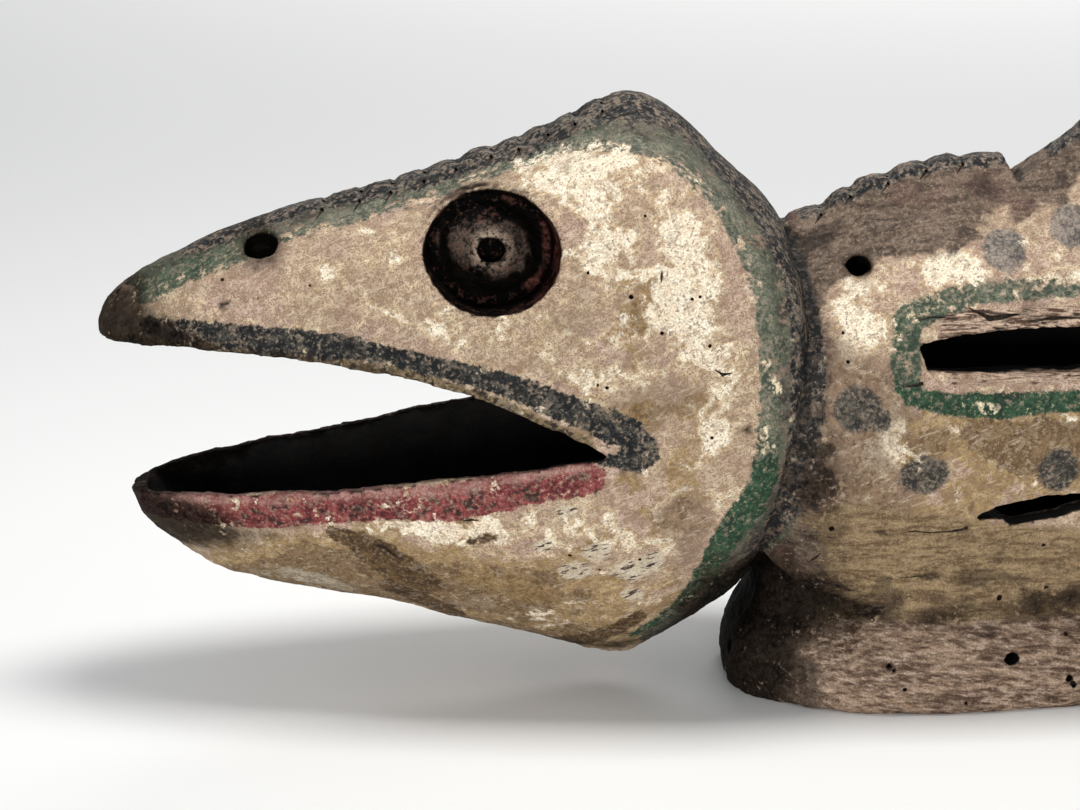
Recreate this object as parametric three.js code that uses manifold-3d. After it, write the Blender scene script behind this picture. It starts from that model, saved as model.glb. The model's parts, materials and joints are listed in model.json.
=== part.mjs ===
// A carved and painted wooden fish marionette, made from one block of wood.
// The head looks towards -X and overhangs; the hollow body stands on its flared rim.
// Lengths are millimetres. Stations along the fish are measured from the nose tip, heights from
// the ground that the rim stands on; +Y and -Y are the two flanks.

import * as THREE from 'three';
import { mergeVertices } from 'three/addons/utils/BufferGeometryUtils.js';
import Module from 'manifold-3d';

const wasm = await Module();
wasm.setup();

// Overall sizes
const LENGTH = 797.5;
const WALL = 13;

// Head, from nose tip to gill edge
const HEAD_LENGTH = 317.5;
const CREST_HALF = 5;
const GAPE_END = 227;

// Eye: a deep socket, a little wider than it is high, with a domed eyeball left standing in it
const EYE = {
  x: 176.7, z: 217.5, radius: 27.3, widen: 1.09, tilt: 8, depth: 26,
  ball: 20.8, rise: 13, pupil: 5.2, drilled: 11,
};
const NOSTRIL = { x: 75.8, z: 215.3, radius: 8.4, depth: 17, tilt: 38 };

// Body, skirt and tail
const RIM_FRONT = 285.5;
const RIM_REAR = 640;
const RIM_HEIGHT = 36;
const TAIL_ROOT = 655;
const TAIL_THICK = 14;

// Openings in the body
const SLOT = { front: 363.5, rear: 510, low: 162, high: 181 };
const VENT = { x: 340.5, z: 205, radius: 5.6, flatten: 0.82, tilt: 10 };
const CRACK = { front: 388.3, rear: 468, z: 90 };
const FRONT_HOLE = { y: -14, z: 18.5, radius: 4.2, depth: 20 };

// Scallops along the crests: where the notches between them stand, and how the knife cut them
const SCALLOP = { depth: 3.2, half: 24 };
const HEAD_NOTCHES = [103.6, 120.4, 134.3, 149.1, 163.5, 179.2, 191.4, 204.5, 216.3, 228.6];
const FRONT_FIN_NOTCHES = [328, 341.2, 357.9, 375, 391.7];
const REAR_FIN_NOTCHES = { from: 508, to: 634, pitch: 14 };

// How far a cut runs out past the surface that it starts from
const CLEAR = 6;

// Smooth curve through a few points (station, value), never overshooting them
function through(points) {
  const n = points.length;
  const slope = [];
  for (let i = 0; i < n - 1; i++) {
    slope.push((points[i + 1][1] - points[i][1]) / (points[i + 1][0] - points[i][0]));
  }
  const tangent = points.map((_, i) => {
    if (i === 0) return slope[0];
    if (i === n - 1) return slope[n - 2];
    if (slope[i - 1] * slope[i] <= 0) return 0;
    return 2 / (1 / slope[i - 1] + 1 / slope[i]);
  });
  return (s) => {
    if (s <= points[0][0]) return points[0][1];
    if (s >= points[n - 1][0]) return points[n - 1][1];
    let i = 0;
    while (s > points[i + 1][0]) i++;
    const h = points[i + 1][0] - points[i][0];
    const t = (s - points[i][0]) / h;
    const a = (1 + 2 * t) * (1 - t) ** 2 * points[i][1] + t * (1 - t) ** 2 * h * tangent[i];
    const b = t * t * (3 - 2 * t) * points[i + 1][1] + t * t * (t - 1) * h * tangent[i + 1];
    return a + b;
  };
}

// Closed skin over a stack of rings with equal counts of points
function skin(rings) {
  const count = rings[0].length;
  const position = [];
  const index = [];
  rings.forEach((ring) => ring.forEach((p) => position.push(p.x, p.y, p.z)));
  for (let r = 0; r < rings.length - 1; r++) {
    for (let i = 0; i < count; i++) {
      const a = r * count + i;
      const b = r * count + ((i + 1) % count);
      index.push(a, b, b + count, a, b + count, a + count);
    }
  }
  const cap = (ring, first, flip) => {
    const centre = new THREE.Vector3();
    ring.forEach((p) => centre.add(p));
    centre.divideScalar(count);
    const hub = position.length / 3;
    position.push(centre.x, centre.y, centre.z);
    for (let i = 0; i < count; i++) {
      const a = first + i;
      const b = first + ((i + 1) % count);
      if (flip) index.push(hub, b, a);
      else index.push(hub, a, b);
    }
  };
  cap(rings[0], 0, true);
  cap(rings[rings.length - 1], (rings.length - 1) * count, false);
  const geometry = new THREE.BufferGeometry();
  geometry.setAttribute('position', new THREE.Float32BufferAttribute(position, 3));
  geometry.setIndex(index);
  return geometry;
}

// A closed geometry as a solid that can be joined and cut
function solid(geometry) {
  const bare = geometry.clone();
  bare.deleteAttribute('normal');
  bare.deleteAttribute('uv');
  const merged = mergeVertices(bare, 1e-4);
  let made = new wasm.Manifold(new wasm.Mesh({
    numProp: 3,
    vertProperties: new Float32Array(merged.attributes.position.array),
    triVerts: new Uint32Array(merged.index.array),
  }));
  if (made.volume() < 0) {
    const turned = Array.from(merged.index.array);
    for (let i = 0; i < turned.length; i += 3) [turned[i], turned[i + 1]] = [turned[i + 1], turned[i]];
    made = new wasm.Manifold(new wasm.Mesh({
      numProp: 3,
      vertProperties: new Float32Array(merged.attributes.position.array),
      triVerts: new Uint32Array(turned),
    }));
  }
  return made;
}

// Cross-section of the fish at a station: heights and half-widths from the keel to the crest
function section(x, levels) {
  const near = levels.map(([z, half]) => new THREE.Vector3(x, -half, z));
  const far = levels.map(([z, half]) => new THREE.Vector3(x, half, z)).reverse();
  return [...near, ...far];
}

// Head: outlines seen from the side, half-width seen from above, and the shape of its section
const headTop = through([
  [0, 175], [3.6, 184.3], [10.6, 192], [20, 197.7], [38, 207.4], [61, 217.6], [92, 228], [137, 240],
  [164, 248.4], [196, 260], [223, 272.6], [241, 278], [249, 276.6], [256, 272], [273, 257.5], [291, 239.8],
  [301, 230.5], [309, 219.5], [313, 209], [316, 196], [HEAD_LENGTH, 184],
]);
const headBottom = through([
  [0, 168], [5, 140], [10, 108], [12.7, 97], [15.6, 86.5], [24.4, 76.5], [38, 66.6], [56, 56.4], [79, 49.6],
  [107, 44.7], [135, 39.4], [153.5, 34], [182, 26], [210, 18.6], [229, 13.8], [238, 13.2], [248, 16.3],
  [257, 22.6], [276, 33.5], [291, 46], [298, 57], [304, 72], [309, 91], [313, 116], [316, 146],
  [HEAD_LENGTH, 163],
]);
const headHalf = through([
  [0, 4], [2, 8], [6, 14.5], [12, 21], [25, 31], [50, 42], [75, 49.5], [110, 57], [150, 64.5], [200, 71],
  [250, 75.5], [285, 77.5], [300, 76], [309, 72], [313, 66], [316, 55], [HEAD_LENGTH, 44],
]);
const headShape = through([
  [0, 0.1], [0.04, 0.34], [0.12, 0.61], [0.25, 0.85], [0.4, 0.98], [0.5, 1], [0.63, 0.98], [0.75, 0.92],
  [0.86, 0.8], [0.94, 0.57], [1, 0],
]);
// Half-width of the head at a station and a height
function headAt(x, z) {
  return headHalf(x) * headShape((z - headBottom(x)) / (headTop(x) - headBottom(x)));
}
const headLevels = [0, 0.03, 0.08, 0.15, 0.24, 0.36, 0.5, 0.64, 0.76, 0.85, 0.92, 0.97, 1];
const headStations = [
  0, 1, 2.5, 5, 8.5, 13, 16, 20, 26, 34, 46, 60, 78, 98, 120, 142, 164, 186, 206, 222, 232, 240, 247, 254,
  264, 276, 287, 295, 301, 306, 310, 313, 315.5, HEAD_LENGTH,
];
function headSection(x) {
  const low = headBottom(x);
  const high = headTop(x);
  const crest = Math.min(CREST_HALF, 0.4 * headHalf(x));
  return section(x, headLevels.map((h) => [
    low + h * (high - low),
    Math.max(headHalf(x) * headShape(h), crest),
  ]));
}

// Body above the waist: crest line, keel line and half-widths by height
const bodyTop = through([
  [283, 150], [296, 190], [309, 218], [318, 221.5], [327, 225], [345.5, 236], [364, 242], [386, 247.2],
  [404, 247.2], [413, 247], [430, 256], [446, 264.5], [462, 272], [478, 278], [492, 274],
  [540, 244], [580, 211], [620, 178], [650, 160], [690, 150],
]);
const bodyBottom = through([
  [283, 98], [300, 72], [315, 60], [335, 52], [570, 52], [610, 62], [645, 82], [690, 96],
]);
const bodyHalf = through([
  [283, 40], [300, 63], [320, 69.5], [355, 71], [420, 69], [480, 62.5], [540, 52], [590, 39], [630, 27],
  [660, 16.5], [690, 7.5],
]);
const trunkShape = through([
  [0, 0.66], [0.06, 0.73], [0.16, 0.84], [0.3, 0.95], [0.45, 1], [0.6, 0.96], [0.72, 0.83], [0.84, 0.56],
  [0.92, 0.29], [0.96, 0.16], [1, 0],
]);
const finShape = through([
  [0, 0.66], [0.06, 0.73], [0.16, 0.84], [0.3, 0.96], [0.42, 1], [0.55, 0.93], [0.66, 0.74], [0.76, 0.44],
  [0.84, 0.24], [0.92, 0.15], [1, 0],
]);
const finned = through([[412, 0], [462, 0.85], [500, 1], [560, 0.8], [640, 0.2], [690, 0]]);
function bodyAt(x, z) {
  const h = (z - bodyBottom(x)) / (bodyTop(x) - bodyBottom(x));
  return bodyHalf(x) * (trunkShape(h) + finned(x) * (finShape(h) - trunkShape(h)));
}
const bodyLevels = [0, 0.07, 0.16, 0.28, 0.42, 0.55, 0.67, 0.78, 0.88, 0.95, 1];
const bodyStations = [
  283, 292, 302, 314, 328, 346, 366, 386, 404, 420, 434, 448, 462, 478, 492, 516, 540,
  562, 584, 606, 628, 648, 668, 690,
];
function bodySection(x) {
  const low = bodyBottom(x);
  const high = bodyTop(x);
  const crest = Math.min(CREST_HALF + 1.5, 0.5 * bodyHalf(x));
  return section(x, bodyLevels.map((h) => {
    const z = low + h * (high - low);
    return [z, Math.max(bodyAt(x, z), crest)];
  }));
}

// Skirt: the plan of the rim, blunt in front and narrowing towards the tail
const skirtHalf = through([
  [RIM_FRONT, 0], [RIM_FRONT + 1.5, 22], [RIM_FRONT + 6, 31], [RIM_FRONT + 13, 38.5], [RIM_FRONT + 20, 44],
  [RIM_FRONT + 38, 55], [RIM_FRONT + 58, 61], [RIM_FRONT + 85, 64], [408, 62], [446, 55.5], [485, 49.5],
  [540, 42], [RIM_REAR - 40, 34], [RIM_REAR - 20, 28], [RIM_REAR - 7, 18], [RIM_REAR - 1.5, 8],
  [RIM_REAR, 0],
]);
// How far the skirt stands in from that plan at each height
const skirtInset = through([
  [0, 2.5], [3, 0.8], [9, 0], [20, 1.5], [29, 4], [RIM_HEIGHT, 8], [43, 11.5], [52, 13], [64, 12.5], [80, 9],
  [100, 8],
]);
const skirtHeights = [0, 3, 9, 20, 29, RIM_HEIGHT, 43, 52, 64, 80, 100];
const SKIRT_STEPS = 20;
const SKIRT_BROADEST = 64;
function skirtRing(z, wall = 0) {
  const inset = skirtInset(z) + wall;
  const front = RIM_FRONT + inset;
  const rear = RIM_REAR - inset;
  const ring = [];
  for (let i = 0; i < 2 * SKIRT_STEPS; i++) {
    const along = 0.5 - 0.5 * Math.cos((Math.PI * i) / SKIRT_STEPS);
    const half = skirtHalf(RIM_FRONT + (RIM_REAR - RIM_FRONT) * along) * (1 - inset / SKIRT_BROADEST);
    ring.push(new THREE.Vector3(front + (rear - front) * along, i < SKIRT_STEPS ? -half : half, z));
  }
  return ring;
}

// Tail fin: an upright forked blade, seen from the side
function tailFin() {
  const lobe = LENGTH - 2.5;
  const round = LENGTH + 2.5;
  const outline = new THREE.Shape();
  outline.moveTo(TAIL_ROOT, 98);
  outline.quadraticCurveTo(715, 92, 752, 60);
  outline.quadraticCurveTo(774, 42, lobe, 40);
  outline.quadraticCurveTo(round, 48, lobe, 62);
  outline.quadraticCurveTo(768, 100, 764, 132);
  outline.quadraticCurveTo(768, 168, lobe + 1, 216);
  outline.quadraticCurveTo(round, 230, lobe - 3, 234);
  outline.quadraticCurveTo(762, 228, 742, 200);
  outline.quadraticCurveTo(716, 160, TAIL_ROOT, 154);
  const bevel = 4;
  const blade = new THREE.ExtrudeGeometry(outline, {
    depth: TAIL_THICK - 2 * bevel, bevelEnabled: true, bevelSize: bevel, bevelOffset: -bevel,
    bevelThickness: bevel, bevelSegments: 1, curveSegments: 5,
  });
  blade.rotateX(Math.PI / 2);
  blade.translate(0, TAIL_THICK / 2 - bevel, 0);
  return blade;
}

// Gape: everything between the lower edge of the upper jaw and the rim of the lower jaw
const upperLip = through([
  [-8, 170], [11, 169.5], [40, 171], [75, 170.3], [101, 168.2], [127, 164.7], [149, 160], [171, 154],
  [188, 147.7], [205.5, 140.3], [218.6, 134], [GAPE_END, 128.6],
]);
const lowerLip = through([
  [-8, 97], [13, 98], [37, 101.5], [56, 103.8], [89, 106.8], [122, 111], [151, 115.8], [180, 119.5],
  [201, 123], [GAPE_END, 127.5],
]);
function gape() {
  const stations = [-8, 12, 40, 75, 101, 127, 149, 171, 188, 205, 218, GAPE_END];
  const outline = new THREE.Shape();
  outline.moveTo(-8, lowerLip(-8));
  stations.slice(1).forEach((x) => outline.lineTo(x, lowerLip(x)));
  stations.slice().reverse().forEach((x) => outline.lineTo(x, upperLip(x)));
  const wedge = new THREE.ExtrudeGeometry(outline, { depth: 200, bevelEnabled: false });
  wedge.rotateX(Math.PI / 2);
  wedge.translate(0, 100, 0);
  return wedge;
}

// Trough of the lower jaw: scooped out between thin lips, down to a floor of solid wood
const LIP = 6;
const JAW_FLOOR = 17;
function trough() {
  const floor = through([
    [20, 98], [26, 90], [40, 82], [60, 74], [90, headBottom(90) + JAW_FLOOR + 3],
    ...[130, 180, 235].map((x) => [x, headBottom(x) + JAW_FLOOR]),
  ]);
  const stations = [20, 23, 29, 38, 50, 66, 84, 104, 126, 148, 172, 196, 218, 236];
  return skin(stations.map((x) => {
    const lip = lowerLip(x);
    const half = Math.max(headAt(x, lip) - LIP, 1.5);
    return section(x, [0, 0.1, 0.35, 0.7, 1, 1.2].map((t) => [
      floor(x) + t * (lip - floor(x)),
      half * Math.sqrt(Math.max(1 - (1 - Math.min(t, 1)) ** 2, 0.04)),
    ]));
  }));
}

// Throat: from the back of the mouth through the gills into the hollow body
function throat() {
  const low = through([[185, 60], [235, headBottom(235) + JAW_FLOOR], [270, 62], [335, 82]]);
  const high = through([[185, 140], [235, 168], [270, 176], [335, 176]]);
  const half = through([[185, 50], [235, 60], [270, 59], [335, 50]]);
  const levels = [0, 0.1, 0.3, 0.6, 0.85, 1];
  const stations = [185, 205, 228, 252, 278, 306, 335];
  return skin(stations.map((x) => section(x, levels.map((t) => [
    low(x) + t * (high(x) - low(x)),
    half(x) * Math.sqrt(Math.max(1 - (2 * t - 1) ** 2, 0.1)),
  ]))));
}

// Hollow of the body: the same sections a wall's thickness in, open below through the skirt
function bodyHollow() {
  const stations = [316, 328, 346, 370, 400, 430, 462, 492, 516, 540, 562, 584, 600];
  const crown = through([[316, 176], [340, 200], [400, 210], [430, 208], [478, 205], [540, 186], [600, 145]]);
  const floor = 56;
  return skin(stations.map((x) => section(x, [0, 0.2, 0.4, 0.6, 0.8, 1].map((t) => {
    const z = floor + t * (crown(x) - floor);
    return [z, Math.max(Math.min(bodyAt(x, z), skirtHalf(x) * 1.1) - WALL, 3)];
  }))));
}
function skirtHollow() {
  const heights = [0, 20, 34, 48, 66];
  return skin(heights.map((z) => {
    const below = z === 0 ? CLEAR : 0;
    return skirtRing(z, WALL - 1).map((p) => new THREE.Vector3(p.x, p.y, z - below));
  }));
}

// Upper jaw from below: a shallow vault between its lips
function palate() {
  const low = through([[14, 168], [150, 158], [GAPE_END, 125]]);
  const high = through([[14, 170], [40, 180], [100, 184], [160, 178], [230, 168]]);
  const half = through([[14, 10], [40, 26], [80, 37], [150, 50], [230, 54]]);
  const stations = [14, 26, 44, 70, 100, 130, 160, 195, 230];
  return skin(stations.map((x) => section(x, [0, 0.5, 0.85, 1].map((h, i) => [
    low(x) + h * (high(x) - low(x)),
    half(x) * [1, 0.9, 0.62, 0.25][i],
  ]))));
}

// Turn a shape that points along +Z so that it points out of the near flank, tilted up by degrees
function onFlank(geometry, x, y, z, tilt) {
  geometry.rotateX(Math.PI / 2 - (tilt * Math.PI) / 180);
  geometry.translate(x, y, z);
  return geometry;
}

// Eye socket: a turned profile with the eyeball left in the middle and the pupil drilled into it
function eyeSocket() {
  const { radius, depth, ball, rise, pupil, drilled: pupilDepth } = EYE;
  const top = rise - depth;
  const mouth = 5 * CLEAR;
  const profile = [
    [0, top - pupilDepth], [pupil, top - pupilDepth], [pupil, top], [0.55 * ball, top - 0.22 * rise],
    [0.85 * ball, top - 0.6 * rise], [ball, -depth], [radius - 2, -depth], [radius, -0.4 * depth],
    [radius, mouth], [0, mouth],
  ];
  const cut = new THREE.LatheGeometry(profile.map(([r, h]) => new THREE.Vector2(r, h)), 24);
  cut.rotateX(Math.PI / 2);
  cut.scale(EYE.widen, 1, 1);
  return onFlank(cut, EYE.x, -headAt(EYE.x, EYE.z), EYE.z, EYE.tilt);
}
function drilled(radius, depth, sides = 12) {
  const cut = new THREE.CylinderGeometry(radius, radius, depth + 2 * CLEAR, sides);
  cut.rotateX(Math.PI / 2);
  cut.translate(0, 0, CLEAR - depth / 2);
  return cut;
}

// A cut made on both flanks alike
function mirrored(body) {
  return body.add(body.mirror([0, 1, 0]));
}

// Slot through both flanks: a long leaf-shaped opening
function slot() {
  const middle = (SLOT.low + SLOT.high) / 2;
  const outline = new THREE.Shape();
  outline.moveTo(SLOT.front + 3, SLOT.low + 1);
  outline.lineTo(SLOT.rear - 16, SLOT.low);
  outline.quadraticCurveTo(SLOT.rear, SLOT.low + 2, SLOT.rear, middle);
  outline.quadraticCurveTo(SLOT.rear - 2, SLOT.high, SLOT.rear - 18, SLOT.high + 1);
  outline.lineTo(SLOT.front + 34, SLOT.high);
  outline.quadraticCurveTo(SLOT.front + 14, SLOT.high - 1, SLOT.front, SLOT.high - 6);
  const cut = new THREE.ExtrudeGeometry(outline, { depth: 180, bevelEnabled: false, curveSegments: 4 });
  cut.rotateX(Math.PI / 2);
  cut.translate(0, 90, 0);
  return cut;
}

// Age crack in the near flank: a torn opening, pointed in front, with a tongue of wood in its lower edge
function crack() {
  const { front, rear, z } = CRACK;
  const lower = [[4, 2.4], [9.5, 4.2], [16.5, 3.7], [19, 1.2], [23, 0.6], [29, 2.1], [40, 4], [51, 7]];
  const upper = [[60, 15], [43, 14.8], [35, 14.8], [21, 11.6], [11.5, 8.3], [4.5, 5.4]];
  const outline = new THREE.Shape();
  outline.moveTo(front, z);
  lower.forEach(([dx, dz]) => outline.lineTo(front + dx, z + dz));
  outline.lineTo(rear, z + 13);
  upper.forEach(([dx, dz]) => outline.lineTo(front + dx, z + dz));
  const cut = new THREE.ExtrudeGeometry(outline, { depth: 60, bevelEnabled: false });
  cut.rotateX(Math.PI / 2);
  cut.translate(0, -30, 0);
  return cut;
}

// A notch between two scallops: a cusp across the crest, leaving a rounded scallop on either side
function notch(x, line, reach) {
  const { depth, half } = SCALLOP;
  const slope = Math.atan2(line(x + reach) - line(x - reach), 2 * reach);
  const outline = new THREE.Shape();
  outline.moveTo(-reach, depth);
  outline.lineTo(-0.8 * reach, 0.05);
  outline.lineTo(-0.36 * reach, -0.28 * depth);
  outline.lineTo(0, -depth);
  outline.lineTo(0.36 * reach, -0.28 * depth);
  outline.lineTo(0.8 * reach, 0.05);
  outline.lineTo(reach, depth);
  const cut = new THREE.ExtrudeGeometry(outline, { depth: 2 * half, bevelEnabled: false });
  cut.rotateX(Math.PI / 2);
  cut.translate(0, half, 0);
  cut.rotateY(-slope);
  cut.translate(x, 0, line(x));
  return cut;
}
function notches(places, line) {
  const reach = (places[places.length - 1] - places[0]) / (places.length - 1) / 2;
  return places.map((x) => solid(notch(x, line, reach)));
}
function evenly({ from, to, pitch }) {
  const places = [];
  for (let x = from; x <= to; x += pitch) places.push(x);
  return places;
}

// Nail holes round the rim, where a cloth was once fastened: station, height, radius, on both flanks
const nailHoles = [
  [356.3, 23, 2.2], [412.4, 25, 3.8], [440.1, 14, 2.4], [500, 20, 3], [560, 19, 3], [606, 20, 2.4],
];
function nailHole([x, z, radius]) {
  return onFlank(drilled(radius, 24, 8), x, -skirtHalf(x), z, 0);
}

// Gap between the two back fins: steep in front, then the leading edge of the rear fin
function finGap() {
  const outline = new THREE.Shape();
  outline.moveTo(408.5, 252);
  outline.lineTo(410.5, 246);
  outline.lineTo(415, 235.5);
  outline.lineTo(430, 248.5);
  outline.lineTo(444.7, 260);
  outline.lineTo(466, 275);
  outline.lineTo(430, 280);
  const cut = new THREE.ExtrudeGeometry(outline, { depth: 80, bevelEnabled: false });
  cut.rotateX(Math.PI / 2);
  cut.translate(0, 40, 0);
  return cut;
}

// The whole fish
const head = solid(skin(headStations.map(headSection)));
const body = solid(skin(bodyStations.map(bodySection)));
const skirt = solid(skin(skirtHeights.map((z) => skirtRing(z))));
let fishBody = head.add(body).add(skirt).add(solid(tailFin()));

const ventCut = drilled(VENT.radius, 3 * WALL, 12);
ventCut.scale(1, VENT.flatten, 1);
const vent = onFlank(ventCut, VENT.x, -bodyAt(VENT.x, VENT.z), VENT.z, VENT.tilt);
const nostril = onFlank(
  drilled(NOSTRIL.radius, NOSTRIL.depth), NOSTRIL.x, -headAt(NOSTRIL.x, NOSTRIL.z), NOSTRIL.z, NOSTRIL.tilt,
);
const frontHole = drilled(FRONT_HOLE.radius, FRONT_HOLE.depth, 8);
frontHole.rotateY(-Math.PI / 2);
frontHole.translate(RIM_FRONT + 4, FRONT_HOLE.y, FRONT_HOLE.z);
const cuts = [
  solid(gape()), solid(trough()), solid(throat()), solid(palate()), solid(bodyHollow()), solid(skirtHollow()),
  mirrored(solid(eyeSocket())), mirrored(solid(nostril)), solid(vent), solid(slot()), solid(crack()),
  ...nailHoles.map((hole) => mirrored(solid(nailHole(hole)))), solid(frontHole), solid(finGap()),
  ...notches(HEAD_NOTCHES, headTop), ...notches(FRONT_FIN_NOTCHES, bodyTop),
  ...notches(evenly(REAR_FIN_NOTCHES), bodyTop),
];
cuts.forEach((cut) => { fishBody = fishBody.subtract(cut); });

// Back to a mesh, moved so that the origin lies under the middle of the whole fish
function meshed(body3) {
  const data = body3.getMesh();
  const geometry = new THREE.BufferGeometry();
  const position = new Float32Array(data.numVert * 3);
  for (let i = 0; i < data.numVert; i++) {
    for (let k = 0; k < 3; k++) position[3 * i + k] = data.vertProperties[data.numProp * i + k];
  }
  geometry.setAttribute('position', new THREE.BufferAttribute(position, 3));
  geometry.setIndex(new THREE.BufferAttribute(new Uint32Array(data.triVerts), 1));
  geometry.computeVertexNormals();
  return geometry;
}

const paintedWood = new THREE.MeshStandardMaterial({ color: 0xb29a7b, roughness: 0.85, metalness: 0 });
const fish = new THREE.Mesh(meshed(fishBody), paintedWood);
fish.name = 'fish';
fish.geometry.computeBoundingBox();
fish.position.x = -(fish.geometry.boundingBox.min.x + fish.geometry.boundingBox.max.x) / 2;

const marionette = new THREE.Group();
marionette.add(fish);
export default marionette;
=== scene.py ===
# Fish marionette: one block of wood, carved, hollowed and painted
# Lengths are metres from the tip of the nose, heights are metres above the ground.

import json
from math import cos, pi, radians, sin

import bpy
import numpy as np
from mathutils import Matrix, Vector
from mathutils.bvhtree import BVHTree
from mathutils.kdtree import KDTree

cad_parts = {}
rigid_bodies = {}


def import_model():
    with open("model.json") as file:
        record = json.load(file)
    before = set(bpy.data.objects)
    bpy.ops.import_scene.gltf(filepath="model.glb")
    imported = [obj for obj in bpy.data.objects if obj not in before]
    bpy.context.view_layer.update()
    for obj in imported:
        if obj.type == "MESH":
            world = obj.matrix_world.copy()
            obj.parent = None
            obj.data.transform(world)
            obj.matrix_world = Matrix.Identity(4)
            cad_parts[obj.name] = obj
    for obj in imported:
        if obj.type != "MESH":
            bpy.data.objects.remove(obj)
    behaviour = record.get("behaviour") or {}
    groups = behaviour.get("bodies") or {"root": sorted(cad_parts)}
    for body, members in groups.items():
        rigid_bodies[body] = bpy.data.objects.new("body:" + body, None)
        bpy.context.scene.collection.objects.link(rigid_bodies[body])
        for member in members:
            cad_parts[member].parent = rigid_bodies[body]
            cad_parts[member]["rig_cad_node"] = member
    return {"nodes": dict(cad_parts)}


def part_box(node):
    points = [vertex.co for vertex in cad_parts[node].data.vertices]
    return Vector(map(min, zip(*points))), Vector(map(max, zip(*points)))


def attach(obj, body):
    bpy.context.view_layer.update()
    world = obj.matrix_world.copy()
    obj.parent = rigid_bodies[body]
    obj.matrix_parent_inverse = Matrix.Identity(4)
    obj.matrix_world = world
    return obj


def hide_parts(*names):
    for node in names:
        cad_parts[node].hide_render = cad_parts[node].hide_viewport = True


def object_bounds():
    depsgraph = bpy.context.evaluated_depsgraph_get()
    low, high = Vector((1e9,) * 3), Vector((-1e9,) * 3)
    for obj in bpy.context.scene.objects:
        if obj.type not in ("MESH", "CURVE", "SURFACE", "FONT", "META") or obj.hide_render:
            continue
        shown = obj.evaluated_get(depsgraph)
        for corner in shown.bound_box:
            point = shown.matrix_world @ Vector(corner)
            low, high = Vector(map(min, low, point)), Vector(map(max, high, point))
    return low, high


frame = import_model()
cad_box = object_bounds()


# The table and the light
# The fish stands on a plain pale table top in an evenly lit white room, with one soft light above it,
# a low one in front and one over the far end of the table. The camera looks at its flank, a little
# from the head's side and above.

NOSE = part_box("fish")[0].x
AIM = Vector((NOSE + 0.2004, 0, 0.132))
AIM_DISTANCE = 1.4
LOOK_DOWN = radians(16.5)
LOOK_TURN = radians(-3)
SIZE_PER_PIXEL = 0.00046
PICTURE_WIDTH = 1080
SENSOR = 36
TABLE_SIZE = 40
TABLE_WHITE = (0.885, 0.89, 0.885, 1)
ROOM_WHITE = (0.955, 0.975, 1.0, 1)
ROOM_STRENGTH = 0.40
LAMP_WHITE = (1, 0.988, 0.968)

bpy.ops.object.select_all(action="DESELECT")
towards_eye = Vector((sin(LOOK_TURN) * cos(LOOK_DOWN), -cos(LOOK_TURN) * cos(LOOK_DOWN), sin(LOOK_DOWN)))
bpy.ops.object.camera_add(
    location=AIM + towards_eye * AIM_DISTANCE, rotation=(pi / 2 - LOOK_DOWN, 0, LOOK_TURN)
)
camera = bpy.context.active_object
camera.data.sensor_width = SENSOR
camera.data.lens = SENSOR * AIM_DISTANCE / (SIZE_PER_PIXEL * PICTURE_WIDTH)
camera.data.clip_start = 0.05
bpy.context.scene.camera = camera
bpy.context.scene.view_settings.view_transform = "Standard"

bpy.ops.mesh.primitive_plane_add(size=TABLE_SIZE)
table = bpy.context.active_object
table.name = "table"
table_finish = bpy.data.materials.new("matt_white_table")
table_finish.use_nodes = True
table_shader = table_finish.node_tree.nodes["Principled BSDF"]
table_shader.inputs["Base Color"].default_value = TABLE_WHITE
table_shader.inputs["Roughness"].default_value = 0.8
table_shader.inputs["Specular IOR Level"].default_value = 0.2
table.data.materials.append(table_finish)


def soft_light(name, place, aim, width, depth, power):
    bpy.ops.object.light_add(type="AREA", location=place)
    light = bpy.context.active_object
    light.name = name
    light.rotation_euler = (Vector(aim) - Vector(place)).to_track_quat("-Z", "Y").to_euler()
    light.data.shape = "RECTANGLE"
    light.data.size = width
    light.data.size_y = depth
    light.data.energy = power
    light.data.color = LAMP_WHITE


soft_light("top_light", (NOSE + 0.34, -0.03, 1.3), (NOSE + 0.34, 0, 0), 0.5, 0.35, 12)
soft_light("front_light", (NOSE, -2.1, 0.30), (NOSE + 0.30, 0, 0.12), 1.4, 0.5, 27.5)
soft_light("far_light", (NOSE + 0.95, 3.0, 1.8), (NOSE + 0.85, 2.4, 0), 1.8, 1.0, 33)

world = bpy.data.worlds.new("white_room")
bpy.context.scene.world = world
world.use_nodes = True
world.node_tree.nodes["Background"].inputs["Color"].default_value = ROOM_WHITE
world.node_tree.nodes["Background"].inputs["Strength"].default_value = ROOM_STRENGTH


# The carved block
# The head, body, skirt and tail are one block. It starts as a copy of the block's solid, which is
# given an even skin of small faces. Broad faces are worn round, and carved edges are kept.

SKIN_STEP = 0.0013
CARVED_EDGE = radians(28)
EDGE_SAMPLE = 0.0015
KEEP_NEAR, ROUND_FROM = 0.003, 0.010
WORN_EDGES, WORN_FACES = 3, 44

bpy.ops.object.select_all(action="DESELECT")
block = frame["nodes"]["fish"]
block.select_set(True)
bpy.context.view_layer.objects.active = block
bpy.ops.object.duplicate()
fish = bpy.context.active_object
fish.name = "carved_fish"
del fish["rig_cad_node"]
bpy.ops.object.parent_clear(type="CLEAR_KEEP_TRANSFORM")
bpy.ops.object.mode_set(mode="EDIT")
bpy.ops.mesh.select_all(action="SELECT")
bpy.ops.mesh.remove_doubles(threshold=0.00001)
bpy.ops.mesh.select_all(action="DESELECT")
bpy.ops.mesh.edges_select_sharp(sharpness=CARVED_EDGE)
bpy.ops.object.mode_set(mode="OBJECT")

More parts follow.
